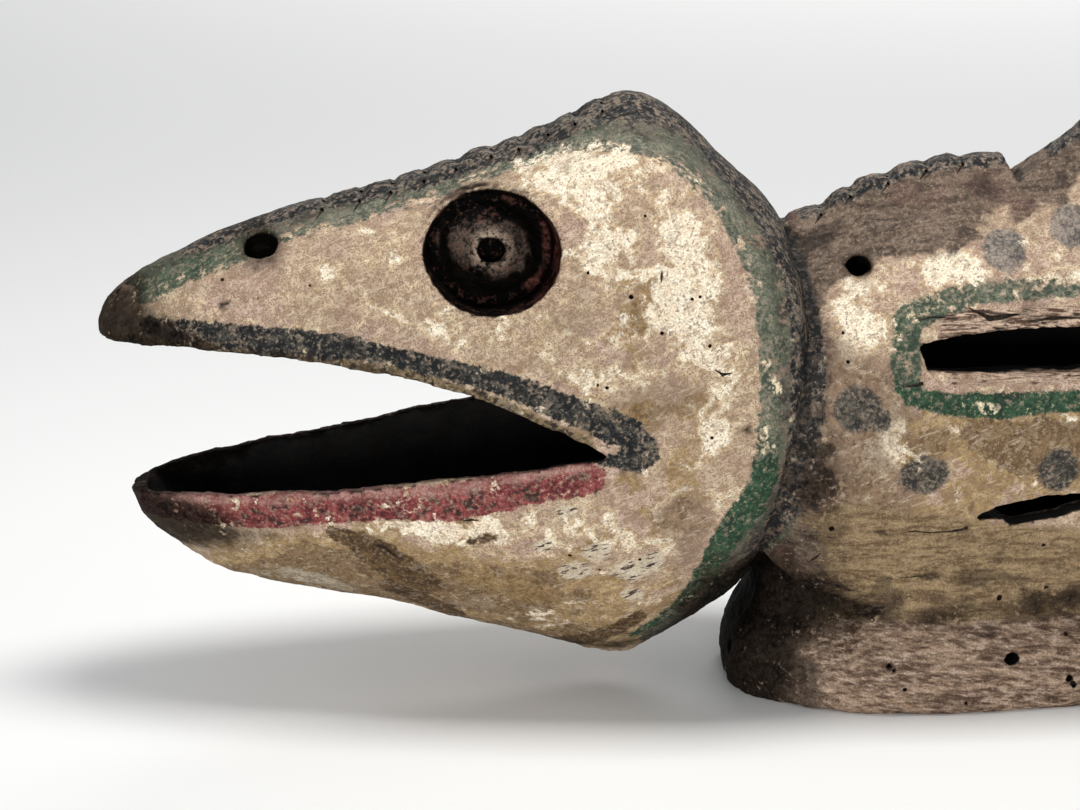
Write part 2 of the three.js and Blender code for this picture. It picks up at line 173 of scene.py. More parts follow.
edge_places = []
for edge in fish.data.edges:
    if edge.select:
        start, end = (fish.data.vertices[v].co for v in edge.vertices)
        pieces = max(1, round((end - start).length / EDGE_SAMPLE))
        edge_places += [start.lerp(end, n / pieces) for n in range(pieces + 1)]
carved_edges = KDTree(len(edge_places))
for number, edge_place in enumerate(edge_places):
    carved_edges.insert(edge_place, number)
carved_edges.balance()
block_faces = BVHTree.FromPolygons(
    [v.co for v in fish.data.vertices], [tuple(p.vertices) for p in fish.data.polygons]
)


def finish_with(kind, **settings):
    modifier = fish.modifiers.new(kind.lower(), kind)
    for setting, value in settings.items():
        setattr(modifier, setting, value)
    bpy.ops.object.modifier_apply(modifier=modifier.name)


def corners(normals=False):
    flat = np.empty(len(fish.data.vertices) * 3, np.float32)
    if normals:
        fish.data.vertex_normals.foreach_get("vector", flat)
    else:
        fish.data.vertices.foreach_get("co", flat)
    return flat.reshape(-1, 3).astype(float)


def blend_in(value, low, high):
    share = np.clip((value - low) / (high - low), 0, 1)
    return share * share * (3 - 2 * share)


def mark_group(name, weights, levels=12):
    group = fish.vertex_groups.new(name=name)
    rank = np.rint(np.clip(weights, 0, 1) * levels).astype(int)
    for level in range(1, levels + 1):
        group.add(np.flatnonzero(rank == level).tolist(), level / levels, "REPLACE")
    return name


def hidden_behind_wall(points, normals):
    outwards = np.where(points[:, 1:2] < 0, (0.0, -1.0, 0.0), (0.0, 1.0, 0.0))
    starts = points + normals * 0.003 + outwards * 0.001
    return np.array([
        block_faces.ray_cast(start, way, 0.2)[0] is not None
        for start, way in zip(starts.tolist(), outwards.tolist())
    ], float)


finish_with("REMESH", mode="VOXEL", voxel_size=SKIN_STEP, adaptivity=0)
finish_with("SMOOTH", factor=0.5, iterations=WORN_EDGES)
skin_points = corners()
edge_distance = np.array([carved_edges.find(p)[2] for p in skin_points.tolist()])
mark_group("broad_faces", blend_in(edge_distance, KEEP_NEAR, ROUND_FROM))
finish_with("SMOOTH", factor=0.5, iterations=WORN_FACES, vertex_group="broad_faces")


# Knife and gouge marks
# Outside, the block was pared with a knife and worn, which leaves shallow facets and, on the bare
# rim and lower flanks, raised grain along the length. Round the slot the wood is torn. Inside it was
# only hollowed with a gouge.

TRIANGLES = 186000
INSIDE_SHARE = 0.10
SLOT_LOW, SLOT_HIGH = 0.162, 0.181
SLOT_FRONT, SLOT_REAR = 0.3635, 0.510

skin_points, skin_normals = corners(), corners(normals=True)
inside = hidden_behind_wall(skin_points, skin_normals)
outside = 1 - inside
low_and_bare = outside * blend_in(skin_points[:, 2], 0.105, 0.035)
at_edges = outside * blend_in(edge_distance, 0.006, 0.001)
from_nose = skin_points[:, 0] - NOSE
beside_slot = np.maximum(np.abs(skin_points[:, 2] - 0.5 * (SLOT_LOW + SLOT_HIGH)) - 0.010, 0)
torn = outside * blend_in(beside_slot, 0.011, 0.002) * blend_in(from_nose, SLOT_FRONT, SLOT_FRONT + 0.015)
torn *= blend_in(from_nose, SLOT_REAR + 0.01, SLOT_REAR - 0.01)
mark_group("inside", inside)
mark_group("outside", outside)
mark_group("low_and_bare", low_and_bare)
mark_group("at_edges", at_edges)
mark_group("torn", torn)

bpy.ops.object.empty_add(location=(0, 0, 0))
along_grain = bpy.context.active_object
along_grain.scale = (9, 1, 1)
bpy.ops.object.select_all(action="DESELECT")
fish.select_set(True)
bpy.context.view_layer.objects.active = fish
bpy.context.view_layer.update()


def roughen(group, kind, size, strength, stretched=False, depth=2):
    marks = bpy.data.textures.new("marks_" + group, kind)
    marks.noise_scale = size
    if kind == "CLOUDS":
        marks.noise_depth = depth
    settings = {"texture_coords": "OBJECT", "texture_coords_object": along_grain} if stretched else {}
    finish_with(
        "DISPLACE", texture=marks, vertex_group=group, strength=strength, mid_level=0.5, **settings
    )


roughen("outside", "VORONOI", 0.021, -0.0012)
roughen("outside", "CLOUDS", 0.024, 0.0014)
roughen("outside", "CLOUDS", 0.0042, 0.0005)
roughen("low_and_bare", "CLOUDS", 0.0036, 0.0013, stretched=True, depth=3)
roughen("torn", "CLOUDS", 0.0042, 0.0030, stretched=True, depth=3)
roughen("at_edges", "CLOUDS", 0.0055, 0.0012)
roughen("inside", "VORONOI", 0.020, -0.0035)
roughen("inside", "CLOUDS", 0.006, 0.0012)
bpy.data.objects.remove(along_grain)

finish_with("TRIANGULATE")
kept_inside = inside.mean() * INSIDE_SHARE
finish_with(
    "DECIMATE", ratio=outside.mean() + kept_inside, vertex_group="inside", vertex_group_factor=1.0
)
finish_with("DECIMATE", ratio=TRIANGLES / len(fish.data.polygons))
for group in list(fish.vertex_groups):
    fish.vertex_groups.remove(group)


# Cuts, holes and cracks
# A knife parted the scallops along the crests with short slanting cuts. The wood has since been
# holed by nails and worms, has split along the grain, and has chips and scars on the cheek.

HEAD_NOTCHES = (0.1036, 0.1204, 0.1343, 0.1491, 0.1635, 0.1792, 0.1914, 0.2045, 0.2163, 0.2286)
FRONT_FIN_NOTCHES = (0.328, 0.3412, 0.3579, 0.375, 0.3917)
REAR_FIN_NOTCHES = tuple(0.508 + 0.014 * n for n in range(10))
SCALLOP_CUT = 0.0010
SCARS = (
    ((0.3187, 0.0717, 0.0002), (0.3215, 0.0745, 0.0009), (0.3239, 0.0773, 0.0002)),
    ((0.3217, 0.0633, 0.0003), (0.3309, 0.0594, 0.0016), (0.3388, 0.0565, 0.0003)),
    ((0.3517, 0.0878, 0.0002), (0.3656, 0.0890, 0.0005), (0.3720, 0.0876, 0.0004), (0.3802, 0.0880, 0.0006),
     (0.3890, 0.0899, 0.0012)),
    ((0.3541, 0.0627, 0.0002), (0.3681, 0.0640, 0.0004), (0.3740, 0.0640, 0.0002)),
    ((0.3860, 0.1908, 0.0003), (0.3903, 0.1888, 0.0010), (0.3950, 0.1866, 0.0019), (0.4018, 0.1874, 0.0014),
     (0.4090, 0.1880, 0.0003)),
    ((0.3640, 0.1860, 0.0002), (0.3700, 0.1872, 0.0007), (0.3780, 0.1868, 0.0002)),
    ((0.4130, 0.1846, 0.0003), (0.4230, 0.1858, 0.0010), (0.4380, 0.1852, 0.0003)),
    ((0.3562, 0.1581, 0.0002), (0.3615, 0.1588, 0.0008), (0.3650, 0.1598, 0.0009)),
    ((0.3416, 0.0445, 0.0004), (0.3482, 0.0468, 0.0018), (0.3549, 0.0484, 0.0004)),
    ((0.2495, 0.2120, 0.0002), (0.2493, 0.2095, 0.0008), (0.2491, 0.2070, 0.0002)),
    ((0.2725, 0.1691, 0.0002), (0.2760, 0.1669, 0.0009), (0.2799, 0.1677, 0.0002)),
    ((0.1235, 0.0815, 0.0003), (0.1290, 0.0792, 0.0011), (0.1350, 0.0735, 0.0003)),
    ((0.1630, 0.0968, 0.0002), (0.1665, 0.0972, 0.0008), (0.1700, 0.0970, 0.0002)),
)
HOLES = (
    (0.3277, 0.0906, 0.0016), (0.4250, 0.0791, 0.0012), (0.4070, 0.0523, 0.0016),
    (0.4290, 0.0558, 0.0011), (0.4385, 0.0342, 0.0014), (0.4415, 0.0122, 0.0016),
    (0.3631, 0.0131, 0.0012), (0.3580, 0.0219, 0.0012), (0.3913, 0.0061, 0.0010),
    (0.2942, 0.0721, 0.0015), (0.2425, 0.2348, 0.0009), (0.2361, 0.2008, 0.0013),
    (0.2177, 0.2107, 0.0010), (0.2494, 0.1854, 0.0011), (0.2625, 0.1999, 0.0009),
    (0.2659, 0.2007, 0.0009), (0.2702, 0.1797, 0.0010), (0.2258, 0.1608, 0.0010),
    (0.2219, 0.1621, 0.0009), (0.2716, 0.1385, 0.0008), (0.3309, 0.1797, 0.0009),
    (0.3324, 0.1685, 0.0010), (0.2106, 0.0801, 0.0010), (0.2242, 0.0721, 0.0009),
    (0.2418, 0.0779, 0.0008), (0.0582, 0.2009, 0.0009), (0.0972, 0.2011, 0.0008),
    (0.4560, 0.0300, 0.0014), (0.5400, 0.0700, 0.0013), (0.5800, 0.0240, 0.0014),
    (0.4900, 0.0950, 0.0011), (0.7200, 0.1100, 0.0013),
)
FAR_HOLES = (
    (0.3400, 0.0850, 0.0014), (0.4100, 0.0700, 0.0012), (0.4600, 0.0550, 0.0014),
    (0.5300, 0.0820, 0.0012), (0.3800, 0.0180, 0.0012), (0.4700, 0.0280, 0.0013),
    (0.2400, 0.1900, 0.0010), (0.1500, 0.0700, 0.0010), (0.2700, 0.1500, 0.0010),
    (0.1200, 0.2000, 0.0009), (0.6900, 0.1300, 0.0012),
)
HOLE_DEPTH = 0.007
RAGGED = 0.0005

fish_skin = BVHTree.FromPolygons(
    [v.co for v in fish.data.vertices], [tuple(p.vertices) for p in fish.data.polygons]
)
knives = []


def on_flank(x, z, flank=-1):
    spot, normal, _, _ = fish_skin.ray_cast(Vector((NOSE + x, flank * 0.2, z)), Vector((0, -flank, 0)))
    return spot, normal


def cut_along(line):
    curve = bpy.data.curves.new("knife", "CURVE")
    curve.dimensions = "3D"
    curve.bevel_depth = 1
    curve.bevel_resolution = 0
    curve.use_fill_caps = True
    path = curve.splines.new("POLY")
    path.points.add(len(line) - 1)
    for point, (spot, half) in zip(path.points, line):
        point.co = (*spot, 1)
        point.radius = half
    knife = bpy.data.objects.new("knife", curve)
    bpy.context.collection.objects.link(knife)
    knives.append(knife)


def scallop_cut(x):
    top = fish_skin.ray_cast(Vector((NOSE + x, 0, 0.4)), Vector((0, 0, -1)))[0]
    line = [(top + Vector((0, 0, 0.0002)), 1.2 * SCALLOP_CUT)]
    for down, half in ((0.0012, 1.0), (0.0026, 0.75), (0.0042, 0.45), (0.0058, 0.15)):
        for flank, place in ((-1, 0), (1, len(line))):
            spot, normal = on_flank(x - 0.9 * down, top.z - down, flank)
            line.insert(place, (spot + normal * (1 - half) * 0.0004, half * SCALLOP_CUT))
    cut_along(line)


def bore(x, z, radius, flank=-1):
    spot, normal = on_flank(x, z, flank)
    bpy.ops.mesh.primitive_cylinder_add(
        vertices=8, radius=0.85 * radius, depth=HOLE_DEPTH, location=spot - normal * 0.3 * HOLE_DEPTH,
        rotation=normal.to_track_quat("Z", "Y").to_euler(),
    )
    drill = bpy.context.active_object
    bpy.ops.object.mode_set(mode="EDIT")
    bpy.ops.mesh.select_all(action="SELECT")
    bpy.ops.transform.vertex_random(offset=RAGGED, seed=len(knives))
    bpy.ops.object.mode_set(mode="OBJECT")
    knives.append(drill)


for x in HEAD_NOTCHES + FRONT_FIN_NOTCHES + REAR_FIN_NOTCHES:
    scallop_cut(x)
for scar in SCARS:
    cut_along([(on_flank(x, z)[0], half) for x, z, half in scar])
for x, z, radius in HOLES:
    bore(x, z, radius)
for x, z, radius in FAR_HOLES:
    bore(x, z, radius, flank=1)

painted_wood = bpy.data.materials.new("painted_wood")
cut_wood = bpy.data.materials.new("dark_wood_in_the_cuts")
fish.data.materials.clear()
fish.data.materials.append(painted_wood)
fish.data.materials.append(cut_wood)

bpy.ops.object.select_all(action="DESELECT")
for knife in knives:
    knife.select_set(True)
bpy.context.view_layer.objects.active = knives[-1]
bpy.ops.object.convert(target="MESH")
bpy.ops.object.join()
blades = bpy.context.active_object
bpy.ops.object.mode_set(mode="EDIT")
bpy.ops.mesh.select_all(action="SELECT")
bpy.ops.mesh.remove_doubles(threshold=0.000002)
bpy.ops.mesh.normals_make_consistent(inside=False)
bpy.ops.object.mode_set(mode="OBJECT")
blades.data.materials.clear()
blades.data.materials.append(painted_wood)
blades.data.materials.append(cut_wood)
blades.data.polygons.foreach_set("material_index", [1] * len(blades.data.polygons))
bpy.ops.object.select_all(action="DESELECT")
fish.select_set(True)
bpy.context.view_layer.objects.active = fish
finish_with("BOOLEAN", object=blades, operation="DIFFERENCE", solver="MANIFOLD")
bpy.data.objects.remove(blades)

# Corners that only two edges meet at are smoothed away, and chips that the knives cut loose dropped
bpy.ops.object.mode_set(mode="EDIT")
bpy.ops.mesh.select_mode(type="VERT")
bpy.ops.mesh.select_all(action="DESELECT")
bpy.ops.object.mode_set(mode="OBJECT")
ends = np.empty(2 * len(fish.data.edges), np.int32)
fish.data.edges.foreach_get("vertices", ends)
fish.data.vertices.foreach_set("select", np.bincount(ends, minlength=len(fish.data.vertices)) == 2)
bpy.ops.object.mode_set(mode="EDIT")
bpy.ops.mesh.dissolve_verts()
bpy.ops.mesh.select_all(action="SELECT")
bpy.ops.mesh.quads_convert_to_tris(quad_method="BEAUTY", ngon_method="BEAUTY")
bpy.ops.mesh.select_all(action="DESELECT")
bpy.ops.object.mode_set(mode="OBJECT")
fish.data.vertices[int(corners()[:, 0].argmin())].select = True
bpy.ops.object.mode_set(mode="EDIT")
bpy.ops.mesh.select_linked()
bpy.ops.mesh.select_all(action="INVERT")
bpy.ops.mesh.delete(type="VERT")
bpy.ops.object.mode_set(mode="OBJECT")


# Where dirt and painted shade stay
# Soot and grease have settled wherever a hand or a cloth does not reach, and rubbed off wherever it
# does; the paint darkens the same sheltered places as painted shade too. For each place this finds how
# open it lies and how far it stands out from its surroundings.

SHELTER_REACH = 0.09
SHELTER_RAYS = 24
GOLDEN_TURN = pi * (3 - 5 ** 0.5)
GAP = 0.022
EASE_SHAPE = 3

low_corner, high_corner = (np.array(corner) for corner in cad_box)
points = np.clip(corners(), low_corner, high_corner)
fish.data.vertices.foreach_set("co", points.astype(np.float32).ravel())
fish.data.update()
normals = corners(normals=True)
along = points[:, 0] - NOSE
height = points[:, 2]


def record_on_skin(name, values):
    layer = fish.data.attributes.new(name, "FLOAT", "POINT")
    layer.data.foreach_set("value", np.asarray(values, np.float32))


def mean_of_neighbours(values):
    ends = np.empty(2 * len(fish.data.edges), np.int32)
    fish.data.edges.foreach_get("vertices", ends)
    first, second = ends.reshape(-1, 2).T
    count = np.bincount(first, minlength=len(points)) + np.bincount(second, minlength=len(points))
    total = np.bincount(first, values[second], len(points)) + np.bincount(second, values[first], len(points))
    return total / np.maximum(count, 1)


fish_skin = BVHTree.FromPolygons(points.tolist(), [tuple(p.vertices) for p in fish.data.polygons])
side = np.cross(normals, np.where(np.abs(normals[:, :1]) > 0.9, (0.0, 1.0, 0.0), (1.0, 0.0, 0.0)))
side /= np.maximum(np.linalg.norm(side, axis=1), 1e-6)[:, None]
across = np.cross(normals, side)
starts = (points + normals * 0.0010).tolist()
open_rays = np.zeros(len(points))
for ray in range(SHELTER_RAYS):
    share = (ray + 0.5) / SHELTER_RAYS
    turn = ray * GOLDEN_TURN
    out = share ** 0.5
    ways = normals * (1 - share) ** 0.5 + side * (out * cos(turn)) + across * (out * sin(turn))
    open_rays += [
        fish_skin.ray_cast(start, way, SHELTER_REACH)[0] is None for start, way in zip(starts, ways.tolist())
    ]
openness = open_rays / SHELTER_RAYS
record_on_skin("openness", 0.5 * (openness + mean_of_neighbours(openness)))

standing_out = sum(
    (points[:, axis] - mean_of_neighbours(points[:, axis])) * normals[:, axis] for axis in range(3)
)
for _ in range(EASE_SHAPE):
    standing_out = mean_of_neighbours(standing_out)
record_on_skin("standing_out", standing_out * 1000)

# Places inside the mouth and the hollow, which the paint makes near black: painted shade over sooted wood
facing_gap = np.array([
    block_faces.ray_cast(start, way, GAP)[0] is not None for start, way in zip(starts, normals.tolist())
], float)
facing_middle = blend_in(normals[:, 1] * np.sign(points[:, 1]), -0.15, -0.50) * (height < 0.170)
record_on_skin("inner_soot_and_shade", np.maximum.reduce([hidden_behind_wall(points, normals), facing_gap, facing_middle]))


# The paint
# Cream distemper covers the head and flanks. Black, red and green bands and dark spots are brushed
# over it, and all of it has worn through to brown wood on the back, the rim and the edges.

CHEEK_MIDDLE = (0.190, 0.150)
EYE_MIDDLE = (0.1767, 0.2175)
EYE_TILT = radians(8)
EYE_WIDEN = 1.09
EYE_RADIUS = 0.0273
EYE_OUT = 0.0556


def brush_distance(*strokes):
    nearest = np.full(len(along), 1.0)
    for stroke in strokes:
        for (x0, z0, half0), (x1, z1, half1) in zip(stroke, stroke[1:]):
            run, rise = x1 - x0, z1 - z0
            share = ((along - x0) * run + (height - z0) * rise) / (run * run + rise * rise)
            share = np.clip(share, 0, 1)
            off = np.hypot(along - x0 - share * run, height - z0 - share * rise)
            nearest = np.minimum(nearest, off - half0 - share * (half1 - half0))
    return nearest


def dab_distance(dabs):
    nearest = np.full(len(along), 1.0)
    for x, z, wide, tall in dabs:
        radius = min(wide, tall)
        off = (np.hypot((along - x) / wide, (height - z) / tall) - 1) * radius
        nearest = np.minimum(nearest, off)
    return nearest


def broad_areas(base, *areas):
    amount = np.full(len(along), base)
    for x, z, wide, tall, strength in areas:
        amount += strength * np.exp(-((along - x) / wide) ** 2 - ((height - z) / tall) ** 2)
    return amount


def beyond(stroke, middle):
    turn = np.arctan2(height - middle[1], along - middle[0])
    reach = np.hypot(along - middle[0], height - middle[1])
    edge = sorted(
        (np.arctan2(z - middle[1], x - middle[0]), np.hypot(x - middle[0], z - middle[1]))
        for x, z, _ in stroke
    )
    turns, reaches = zip(*edge)
    return np.where((turn > turns[0]) & (turn < turns[-1]), reach - np.interp(turn, turns, reaches), -1.0)


BLACK_LIP = (
    (0.025, 0.1790, 0.0043), (0.048, 0.1790, 0.0045), (0.073, 0.1774, 0.0061), (0.097, 0.1765, 0.0062),
    (0.121, 0.1748, 0.0046), (0.149, 0.1693, 0.0042), (0.175, 0.1635, 0.0051), (0.205, 0.1530, 0.0061),
    (0.223, 0.1456, 0.0072), (0.236, 0.1400, 0.0075), (0.2415, 0.1315, 0.0077),
)
RED_LIP = (
    (0.022, 0.0930, 0.0070), (0.035, 0.0950, 0.0080), (0.068, 0.0960, 0.0090), (0.104, 0.1010, 0.0085),
    (0.135, 0.1040, 0.0080), (0.153, 0.1050, 0.0095), (0.179, 0.1110, 0.0090), (0.205, 0.1175, 0.0085),
    (0.217, 0.1190, 0.0085),
)
UNDER_LIP = (
    (0.017, 0.1713, 0.0030), (0.056, 0.1716, 0.0032), (0.093, 0.1695, 0.0034), (0.121, 0.1678, 0.0032),
    (0.140, 0.1650, 0.0028), (0.171, 0.1558, 0.0026), (0.201, 0.1430, 0.0026), (0.2185, 0.1350, 0.0026),
)
MOUTH_CORNER = ((0.2160, 0.1285, 0.0014), (0.2280, 0.1275, 0.0030), (0.2400, 0.1265, 0.0050))
GREEN_BAND = (
    (0.022, 0.1910, 0.0035), (0.041, 0.2020, 0.0040), (0.068, 0.2125, 0.0036), (0.088, 0.2200, 0.0026),
    (0.106, 0.2246, 0.0023), (0.120, 0.2284, 0.0022), (0.137, 0.2334, 0.0028), (0.155, 0.2390, 0.0030),
    (0.173, 0.2460, 0.0031), (0.191, 0.2524, 0.0028), (0.208, 0.2587, 0.0030), (0.225, 0.2622, 0.0032),
    (0.242, 0.2610, 0.0031), (0.259, 0.2545, 0.0036), (0.2755, 0.2405, 0.0045), (0.2865, 0.2220, 0.0050),
    (0.2930, 0.2060, 0.0048), (0.2960, 0.1850, 0.0048), (0.2968, 0.1600, 0.0048),
    (0.2965, 0.1340, 0.0055), (0.2955, 0.1180, 0.0068), (0.2905, 0.1050, 0.0072),
    (0.2845, 0.0960, 0.0072), (0.278, 0.0830, 0.0063), (0.272, 0.0640, 0.0058), (0.265, 0.0505, 0.0050),
    (0.2545, 0.0400, 0.0040), (0.243, 0.0310, 0.0030),
)
SLOT_FRAME = (
    (0.3600, 0.1530, 0.0036), (0.3800, 0.1500, 0.0055), (0.4000, 0.1485, 0.0058),
    (0.4220, 0.1500, 0.0050), (0.4700, 0.1480, 0.0045), (0.5080, 0.1500, 0.0040),
    (0.5230, 0.1620, 0.0038), (0.5240, 0.1800, 0.0036), (0.5080, 0.1950, 0.0040),
    (0.4480, 0.1980, 0.0040), (0.4190, 0.1975, 0.0040), (0.3910, 0.1965, 0.0044),
    (0.3750, 0.1930, 0.0050), (0.3590, 0.1860, 0.0060), (0.3575, 0.1700, 0.0065),
    (0.3580, 0.1600, 0.0060),
)
TAIL_BAND = ((0.676, 0.0900, 0.0030), (0.684, 0.1250, 0.0045), (0.682, 0.1700, 0.0030))
GILL_EDGE = (
    (0.241, 0.2770, 0.0035), (0.256, 0.2710, 0.0035), (0.273, 0.2570, 0.0040), (0.291, 0.2385, 0.0050),
    (0.303, 0.2220, 0.0060), (0.310, 0.2050, 0.0065), (0.3135, 0.1850, 0.0080), (0.3145, 0.1650, 0.0080),
    (0.3140, 0.1430, 0.0080), (0.3120, 0.1240, 0.0075), (0.3080, 0.1040, 0.0060),
    (0.3010, 0.0860, 0.0050), (0.2910, 0.0700, 0.0045), (0.2830, 0.0560, 0.0035),
)
HEAD_CREST = (
    (0.040, 0.2085, 0.0020), (0.092, 0.2290, 0.0035), (0.137, 0.2410, 0.0055), (0.164, 0.2494, 0.0060),
    (0.196, 0.2610, 0.0065), (0.223, 0.2736, 0.0070), (0.241, 0.2780, 0.0090), (0.256, 0.2720, 0.0060),
)
FRONT_FIN_CREST = (
    (0.320, 0.2225, 0.0030), (0.3455, 0.2360, 0.0040), (0.364, 0.2420, 0.0040), (0.386, 0.2472, 0.0040),
    (0.409, 0.2480, 0.0040),
)
REAR_FIN_CREST = (
    (0.430, 0.2500, 0.0020), (0.462, 0.2740, 0.0040), (0.480, 0.2790, 0.0050), (0.500, 0.2710, 0.0050),
    (0.540, 0.2450, 0.0045), (0.590, 0.2030, 0.0040), (0.635, 0.1690, 0.0035), (0.690, 0.1620, 0.0030),
)
TAIL_EDGE = (
    (0.798, 0.0400, 0.0060), (0.785, 0.0850, 0.0050), (0.768, 0.1150, 0.0050), (0.764, 0.1320, 0.0050),
    (0.768, 0.1580, 0.0050), (0.785, 0.1900, 0.0050), (0.798, 0.2340, 0.0060),
)
SPOTS = (
    (0.3361, 0.1481, 0.0105, 0.0105), (0.3463, 0.1436, 0.0055, 0.0060), (0.3670, 0.1173, 0.0112, 0.0095),
    (0.4275, 0.1178, 0.0095, 0.0105), (0.4045, 0.2126, 0.0100, 0.0080), (0.4351, 0.2211, 0.0090, 0.0085),
    (0.4720, 0.2230, 0.0095, 0.0085), (0.5130, 0.2190, 0.0090, 0.0085), (0.4880, 0.1210, 0.0100, 0.0100),
    (0.5450, 0.1800, 0.0090, 0.0085), (0.5480, 0.1290, 0.0095, 0.0090), (0.5910, 0.1490, 0.0080, 0.0080),
)
BROWN_PATCHES = (
    ((0.1040, 0.0880, 0.0030), (0.1163, 0.0830, 0.0060), (0.1260, 0.0750, 0.0085), (0.1380, 0.0640, 0.0095),
     (0.1470, 0.0590, 0.0070)),
    ((0.1298, 0.0560, 0.0045), (0.1476, 0.0450, 0.0055), (0.1616, 0.0355, 0.0040)),
    ((0.1662, 0.0861, 0.0020), (0.1755, 0.0881, 0.0024)),
    ((0.1850, 0.0205, 0.0040), (0.2051, 0.0215, 0.0040), (0.2187, 0.0250, 0.0050), (0.2316, 0.0340, 0.0045),
     (0.2433, 0.0440, 0.0035)),
)
OCHRE_PATCHES = (
    ((0.1660, 0.0650, 0.0055), (0.1821, 0.0625, 0.0080), (0.1957, 0.0575, 0.0075), (0.2040, 0.0540, 0.0040)),
    ((0.2300, 0.1440, 0.0060), (0.2430, 0.1500, 0.0050)),
    ((0.2380, 0.1960, 0.0030), (0.2400, 0.1880, 0.0040)),
)
GREY_SMEAR = (
    (0.0680, 0.0590, 0.0020), (0.0841, 0.0595, 0.0045), (0.0983, 0.0570, 0.0050), (0.1123, 0.0500, 0.0030),
)
CHIPS = (
    (0.2978, 0.1628, 0.0022, 0.0034), (0.3001, 0.1594, 0.0018, 0.0028), (0.2951, 0.1420, 0.0018, 0.0030),
    (0.2977, 0.1344, 0.0020, 0.0022), (0.2886, 0.2151, 0.0010, 0.0028), (0.3007, 0.1599, 0.0018, 0.0026),
    (0.2951, 0.1310, 0.0014, 0.0022), (0.3955, 0.1475, 0.0046, 0.0026), (0.3915, 0.1500, 0.0026, 0.0016),
    (0.3072, 0.1447, 0.0012, 0.0018), (0.3060, 0.1800, 0.0012, 0.0016), (0.3090, 0.1250, 0.0014, 0.0018),
)
EYE_LIT = ((0.1765, 0.2178, 0.0200, 0.0090), (0.1870, 0.2100, 0.0130, 0.0100))
EYE_RED = ((0.2035, 0.2180, 0.0050, 0.0120), (0.1960, 0.2010, 0.0050, 0.0050))
BROWN_BACK = (
    (0.305, 0.198), (0.328, 0.2017), (0.349, 0.208), (0.372, 0.215), (0.394, 0.221), (0.4135, 0.2265),
    (0.432, 0.235), (0.450, 0.247), (0.480, 0.258), (0.520, 0.243), (0.580, 0.198), (0.640, 0.156),
    (0.70, 0.150),
)

record_on_skin("black_lip", brush_distance(BLACK_LIP, MOUTH_CORNER))
record_on_skin("under_lip", brush_distance(UNDER_LIP))
record_on_skin("chips", dab_distance(CHIPS))
record_on_skin("red_lip", brush_distance(RED_LIP))
record_on_skin("red_lip_top", brush_distance([(x, z + 0.0065, 0.0035) for x, z, _ in RED_LIP]))
record_on_skin("faint_spots", blend_in(height, 0.180, 0.200))
record_on_skin("green_band", brush_distance(GREEN_BAND, SLOT_FRAME, TAIL_BAND))
record_on_skin("dark_edge", brush_distance(
    GILL_EDGE, HEAD_CREST, FRONT_FIN_CREST, REAR_FIN_CREST, TAIL_EDGE
))
record_on_skin("spots", dab_distance(SPOTS))
record_on_skin("brown_patches", brush_distance(*BROWN_PATCHES))
record_on_skin("ochre_patches", brush_distance(*OCHRE_PATCHES))
record_on_skin("grey_smear", brush_distance(GREY_SMEAR))
record_on_skin("eye_lit", dab_distance(EYE_LIT))
record_on_skin("eye_red", dab_distance(EYE_RED))
record_on_skin("scratched", broad_areas(
    0.0,
    (0.2127, 0.0711, 0.0080, 0.0050, 1.0), (0.2225, 0.0820, 0.0070, 0.0050, 1.0),
    (0.2385, 0.0717, 0.0090, 0.0060, 1.0), (0.2485, 0.0781, 0.0050, 0.0050, 0.9),
    (0.2391, 0.0583, 0.0060, 0.0040, 0.8), (0.1985, 0.0846, 0.0060, 0.0030, 0.9),
    (0.2084, 0.1030, 0.0060, 0.0030, 0.9),
))
behind_gill = beyond(GILL_EDGE, CHEEK_MIDDLE)
under_gill = blend_in(along, 0.2835, 0.2860) * blend_in(height, 0.060, 0.056)
on_body = np.maximum(blend_in(behind_gill, 0.0050, 0.0075), under_gill)
in_strip = np.minimum(beyond(GREEN_BAND, CHEEK_MIDDLE), 0.0070 - behind_gill)
record_on_skin("dusky_strip", np.clip(np.where(under_gill > 0.5, -0.01, in_strip + 0.001), -0.01, 0.01))
record_on_skin("thick_cream_and_painted_light", broad_areas(
    0.30,
    (0.213, 0.250, 0.024, 0.011, 0.50), (0.262, 0.208, 0.012, 0.026, 0.42),
    (0.226, 0.222, 0.014, 0.018, 0.30), (0.248, 0.190, 0.016, 0.018, 0.24),
    (0.222, 0.163, 0.020, 0.006, 0.26), (0.274, 0.176, 0.012, 0.012, 0.24),
    (0.272, 0.146, 0.010, 0.016, 0.24), (0.136, 0.0925, 0.016, 0.005, 0.45),
    (0.166, 0.090, 0.022, 0.008, 0.28), (0.205, 0.092, 0.026, 0.012, 0.22),
    (0.250, 0.090, 0.012, 0.014, 0.26), (0.240, 0.072, 0.016, 0.010, 0.20),
    # The entries low on the jaw lighten its downward-facing underside: painted light from below, together
    # with thicker cream
    (0.120, 0.065, 0.060, 0.022, -0.14), (0.190, 0.045, 0.040, 0.010, 0.14),
    (0.158, 0.060, 0.030, 0.012, 0.16), (0.100, 0.052, 0.020, 0.006, 0.20),
    (0.070, 0.195, 0.040, 0.020, -0.06), (0.232, 0.145, 0.024, 0.014, -0.12),
    (0.195, 0.190, 0.020, 0.010, 0.10), (0.145, 0.200, 0.020, 0.012, 0.10),
    (0.338, 0.184, 0.010, 0.014, 0.42), (0.352, 0.140, 0.008, 0.014, 0.40),
    (0.345, 0.123, 0.010, 0.010, 0.30), (0.381, 0.206, 0.020, 0.006, 0.46),
    (0.330, 0.203, 0.012, 0.005, 0.30), (0.425, 0.210, 0.030, 0.010, 0.06),
    (0.400, 0.135, 0.030, 0.008, 0.16), (0.440, 0.070, 0.150, 0.030, -0.25),
    (0.490, 0.205, 0.030, 0.020, 0.24), (0.560, 0.165, 0.040, 0.026, 0.20),
    (0.720, 0.130, 0.040, 0.050, 0.16),
))
